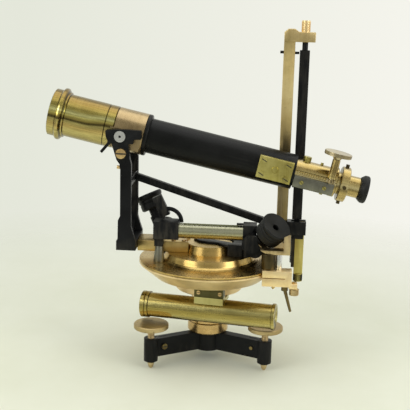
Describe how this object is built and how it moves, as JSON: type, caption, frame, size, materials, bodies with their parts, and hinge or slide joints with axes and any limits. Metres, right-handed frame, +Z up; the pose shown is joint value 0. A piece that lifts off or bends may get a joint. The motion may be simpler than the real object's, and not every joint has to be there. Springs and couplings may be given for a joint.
{
  "type": "tacheometer",
  "caption": "Auto-reducing surveying tacheometer with a long pivoted telescope carried on a vertical rule, a horizontal circle, a lower sighting telescope and a levelling tribrach",
  "frame": {"origin": "on the vertical axis at the mouth of the threaded tripod socket in the underside of the tribrach's hub", "axes": "+Z up along the vertical axis, +X towards the eyepiece and the column, +Y away from the side that carries the spirit level"},
  "size_m": [0.4348, 0.2086, 0.4673],
  "materials": {
    "gold_brass": "lacquered, warm gold, worn satin polish",
    "olive_brass": "tarnished olive brass, satin",
    "bronze": "reddish bronze lacquer, satin",
    "level_brass": "pale silvery brass, satin",
    "enamel": "black enamel, satin, worn edges",
    "ebonite": "black hard rubber, satin",
    "steel": "polished bare steel",
    "grey_steel": "grey satin steel",
    "dark_steel": "dark oiled steel",
    "silvered_ring": "silvered, fine graduation",
    "lens_glass": "polished optical glass",
    "vial_glass": "spirit-filled glass vial"
  },
  "bodies": {
    "base": {"tribrach": "enamel", "flanged_bush": "gold_brass", "arm_clamp_screws": "steel"},
    "foot_1": {"spindle_1": "gold_brass"},
    "foot_2": {"spindle_2": "gold_brass"},
    "foot_3": {"spindle_3": "gold_brass"},
    "turn_head_1": {"screw_head_1": "bronze"},
    "turn_head_2": {"screw_head_2": "bronze"},
    "turn_head_3": {"screw_head_3": "bronze"},
    "limb": {"limb_bowl": "gold_brass", "limb_axle": "gold_brass", "divided_ring": "silvered_ring", "limb_axle_nut": "steel", "watch_saddle": "olive_brass", "watch_saddle_screws": "gold_brass", "watch_tube": "olive_brass", "watch_rings": "olive_brass", "watch_lens": "lens_glass"},
    "alidade": {"cover_plate": "gold_brass", "alidade_axle": "steel", "fork_beam": "gold_brass", "fork": "enamel", "bearing_blocks": "enamel", "brace": "enamel", "column_beam": "enamel", "column": "gold_brass", "rule_guide": "enamel", "alidade_screws": "gold_brass", "level_carrier": "enamel", "level_case": "level_brass", "level_vial": "vial_glass", "clamp_bracket": "gold_brass", "clamp_posts": "steel", "clamp_block": "gold_brass", "microscopes": "enamel", "rule_cap": "gold_brass"},
    "telescope": {"objective_cell": "olive_brass", "objective_lens": "lens_glass", "objective_tube": "olive_brass", "trunnion_collar": "bronze", "trunnion_pins": "steel", "main_tube": "enamel", "side_plate": "gold_brass", "telescope_screws": "gold_brass", "focus_body": "gold_brass", "guide_plate": "grey_steel"},
    "draw": {"draw_tube": "gold_brass", "capstan_screws": "gold_brass"},
    "focus": {"focus_knob": "bronze"},
    "eyepiece": {"eyepiece_tube": "gold_brass", "eyecup": "ebonite"},
    "slide_block": {"slider": "bronze"},
    "sliding_rule": {"rule": "enamel", "rule_foot": "gold_brass", "rule_rack": "dark_steel"},
    "lift": {"lift_pinion": "olive_brass"},
    "right_eyecup": {"eyecup_right": "ebonite"},
    "left_eyecup": {"eyecup_left": "ebonite"},
    "limb_clamp": {"clamp_lever": "gold_brass"},
    "slow_motion": {"tangent_screw": "olive_brass"}
  },
  "joints": [
    {"name": "foot_lift_1", "type": "slide", "parent": "base", "child": "foot_1", "axis": [0, 0, 1], "range_m": [-0.006, 0.0025]},
    {"name": "head_turn_1", "type": "hinge", "parent": "foot_1", "child": "turn_head_1", "pos_m": [-0.00683, 0.08874, 0.045], "axis": [0, 0, 1], "range_deg": [-2160.5, 900.5]},
    {"name": "foot_lift_2", "type": "slide", "parent": "base", "child": "foot_2", "axis": [0, 0, 1], "range_m": [-0.006, 0.0025]},
    {"name": "head_turn_2", "type": "hinge", "parent": "foot_2", "child": "turn_head_2", "pos_m": [-0.07344, -0.05028, 0.045], "axis": [0, 0, 1], "range_deg": [-2160.5, 900.5]},
    {"name": "foot_lift_3", "type": "slide", "parent": "base", "child": "foot_3", "axis": [0, 0, 1], "range_m": [-0.006, 0.0025]},
    {"name": "head_turn_3", "type": "hinge", "parent": "foot_3", "child": "turn_head_3", "pos_m": [0.08026, -0.03846, 0.045], "axis": [0, 0, 1], "range_deg": [-2160.5, 900.5]},
    {"name": "limb_turn", "type": "hinge", "parent": "base", "child": "limb", "pos_m": [0, 0, 0.04], "axis": [0, 0, 1], "continuous": true},
    {"name": "alidade_turn", "type": "hinge", "parent": "limb", "child": "alidade", "pos_m": [0, 0, 0.128], "axis": [0, 0, 1], "continuous": true},
    {"name": "telescope_tilt", "type": "hinge", "parent": "alidade", "child": "telescope", "pos_m": [-0.1196, 0, 0.2988], "axis": [0, -1, 0], "range_deg": [-9.6, 30.5]},
    {"name": "slider_travel", "type": "slide", "parent": "alidade", "child": "slide_block", "axis": [0, 0, 1], "range_m": [-0.0415, 0.1315]},
    {"name": "rule_lift", "type": "slide", "parent": "alidade", "child": "sliding_rule", "axis": [0, 0, 1], "range_m": [-0.005, 0.009]},
    {"name": "lift_turn", "type": "hinge", "parent": "alidade", "child": "lift", "pos_m": [0.1066, 0.034, 0.165], "axis": [0, -1, 0], "range_deg": [-57.6, 103.4]},
    {"name": "draw_travel", "type": "slide", "parent": "telescope", "child": "draw", "axis": [0.9776, 0, -0.2106], "range_m": [-0.0035, 0.02]},
    {"name": "focus_turn", "type": "hinge", "parent": "telescope", "child": "focus", "pos_m": [0.16029, -0.0244, 0.25895], "axis": [-0.2106, 0, -0.9776], "range_deg": [-40.4, 229.5]},
    {"name": "eyepiece_travel", "type": "slide", "parent": "draw", "child": "eyepiece", "axis": [0.9776, 0, -0.2106], "range_m": [-0.0025, 0.004]},
    {"name": "right_eyecup_travel", "type": "slide", "parent": "alidade", "child": "right_eyecup", "axis": [0.5255, -0.4731, 0.7071], "range_m": [-0.0025, 0.003]},
    {"name": "left_eyecup_travel", "type": "slide", "parent": "alidade", "child": "left_eyecup", "axis": [-0.4255, 0.1754, 0.8878], "range_m": [-0.0025, 0.003]},
    {"name": "clamp_turn", "type": "hinge", "parent": "alidade", "child": "limb_clamp", "pos_m": [0.103, -0.059, 0.112], "axis": [0, 0, 1], "range_deg": [-35, 25]},
    {"name": "slow_motion_turn", "type": "hinge", "parent": "alidade", "child": "slow_motion", "pos_m": [0.1154, -0.059, 0.11], "axis": [0, 0, 1], "continuous": true}
  ],
  "couplings": [
    {"joint": "head_turn_1", "follows": "foot_lift_1", "rad_per_m": 6283.2},
    {"joint": "head_turn_2", "follows": "foot_lift_2", "rad_per_m": 6283.2},
    {"joint": "head_turn_3", "follows": "foot_lift_3", "rad_per_m": 6283.2},
    {"joint": "slider_travel", "follows": "telescope_tilt", "m_per_rad": 0.2465},
    {"joint": "lift_turn", "follows": "rule_lift", "rad_per_m": 200},
    {"joint": "focus_turn", "follows": "draw_travel", "rad_per_m": 200}
  ]
}
